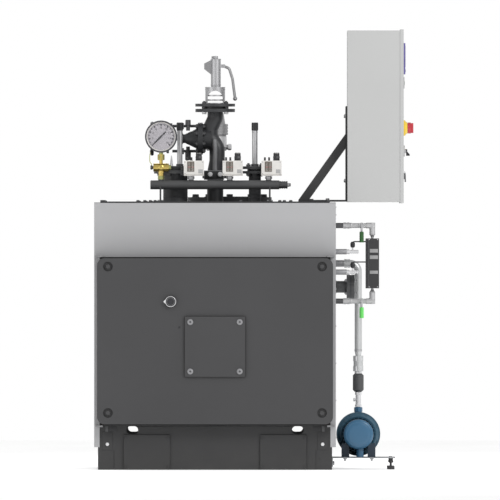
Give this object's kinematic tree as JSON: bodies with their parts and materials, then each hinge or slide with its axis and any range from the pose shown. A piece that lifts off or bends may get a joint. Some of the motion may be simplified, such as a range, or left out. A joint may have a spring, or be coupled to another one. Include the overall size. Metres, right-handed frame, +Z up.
{
  "type": "industrial steam boiler",
  "caption": "Cased steam boiler on a base frame, with hinged furnace door, header with safety and stop valves, level gauge, feed pump and a side control cabinet.",
  "frame": {"origin": "on the floor, under the middle of the casing, on the underside of the centre rail", "axes": "+Z up; the furnace door faces -Y; the control cabinet, level gauge and feed pump are on the +X side"},
  "size_m": [1.4875, 1.523, 2.051],
  "materials": {
    "casing_silver": "silver-grey painted sheet steel",
    "graphite": "dark graphite powder coat",
    "black_steel": "black paint on heavy steel",
    "pipe_black": "dark painted casting and pipe",
    "zinc": "zinc-plated or stainless fitting",
    "cabinet_grey": "light grey textured powder coat",
    "brass": "turned brass",
    "refractory": "cast refractory, chalky",
    "switch_white": "warm white moulded housing",
    "black_plastic": "black moulded plastic",
    "gauge_case": "dark bezel with a pale dial",
    "switch_yellow": "yellow moulded plate",
    "switch_red": "red moulded knob",
    "screen": "dark panel with a violet-blue frame",
    "lever_green": "green moulded lever",
    "pump_blue": "blue machine enamel",
    "galvanised": "galvanised plate"
  },
  "bodies": {
    "boiler": {"base_front_panel": "graphite", "base_rear_panel": "graphite", "base_rails": "graphite", "fork_covers": "graphite", "boiler_body": "black_steel", "casing_left": "casing_silver", "casing_right": "casing_silver", "casing_front_band": "casing_silver", "casing_rear": "casing_silver", "flue_spigot": "black_steel", "door_hinges": "black_steel", "top_plate": "black_steel", "inspection_cover": "black_steel", "steam_header": "pipe_black", "level_pot_left": "pipe_black", "level_pot_right": "pipe_black", "level_electrode_left": "zinc", "level_electrode_right": "zinc", "steam_riser": "pipe_black", "steam_valve_body": "pipe_black", "steam_valve_bonnet": "pipe_black", "safety_valve": "zinc", "pressure_gauge": "gauge_case", "gauge_cock": "brass", "pressure_switch_left": "switch_white", "pressure_switch_middle": "switch_white", "pressure_switch_right": "switch_white", "vent_valve": "zinc", "cabinet_bracket": "graphite", "cabinet_braces": "graphite", "cabinet_shell": "cabinet_grey", "level_gauge": "graphite", "level_lines": "zinc", "wall_probes": "zinc", "blowdown_flange": "pipe_black", "feed_pipe": "zinc", "check_valve": "pipe_black", "pump_casing": "pump_blue", "pump_motor": "pump_blue", "motor_feet": "black_steel", "pump_support": "galvanised", "levelling_feet": "black_steel"},
    "front_door": {"front_door": "graphite", "door_lining": "refractory", "burner_plate": "graphite", "sight_glass": "pipe_black"},
    "cabinet_door": {"cabinet_door": "cabinet_grey", "operator_panel": "screen", "main_switch_plate": "switch_yellow"},
    "main_switch": {"main_switch_knob": "switch_red"},
    "selector": {"selector_knob": "black_plastic"},
    "lock": {"cabinet_lock": "black_plastic"},
    "handwheel": {"steam_valve_handwheel": "pipe_black"},
    "safety_lever": {"safety_valve_lever": "zinc"},
    "cock_upper": {"level_cock_upper": "lever_green"},
    "cock_lower": {"level_cock_lower": "lever_green"}
  },
  "joints": [
    {"name": "front_door_hinge", "type": "hinge", "parent": "boiler", "child": "front_door", "pos_m": [-0.539, -0.697, 0.6], "axis": [0, 0, -1], "range_deg": [0, 100]},
    {"name": "cabinet_door_hinge", "type": "hinge", "parent": "boiler", "child": "cabinet_door", "pos_m": [0.8705, 0.046, 1.65], "axis": [0, 0, 1], "range_deg": [0, 120]},
    {"name": "main_switch_turn", "type": "hinge", "parent": "cabinet_door", "child": "main_switch", "pos_m": [0.9, -0.41, 1.592], "axis": [1, 0, 0], "range_deg": [0, 90]},
    {"name": "selector_turn", "type": "hinge", "parent": "cabinet_door", "child": "selector", "pos_m": [0.88, -0.41, 1.4845], "axis": [1, 0, 0], "range_deg": [-45, 45]},
    {"name": "cabinet_lock_turn", "type": "hinge", "parent": "cabinet_door", "child": "lock", "pos_m": [0.88, -0.41, 1.367], "axis": [1, 0, 0], "range_deg": [0, 90]},
    {"name": "steam_valve_turn", "type": "hinge", "parent": "boiler", "child": "handwheel", "pos_m": [-0.295, -0.19, 1.544], "axis": [1, 0, 0], "continuous": true},
    {"name": "safety_lever_lift", "type": "hinge", "parent": "boiler", "child": "safety_lever", "pos_m": [0.038, -0.19, 1.883], "axis": [0, -1, 0], "range_deg": [0, 25]},
    {"name": "level_cock_upper_turn", "type": "hinge", "parent": "boiler", "child": "cock_upper", "pos_m": [0.683, -0.48, 1.137], "axis": [0, 1, 0], "range_deg": [0, 90]},
    {"name": "level_cock_lower_turn", "type": "hinge", "parent": "boiler", "child": "cock_lower", "pos_m": [0.683, -0.48, 0.7845], "axis": [0, 1, 0], "range_deg": [0, 90]}
  ]
}
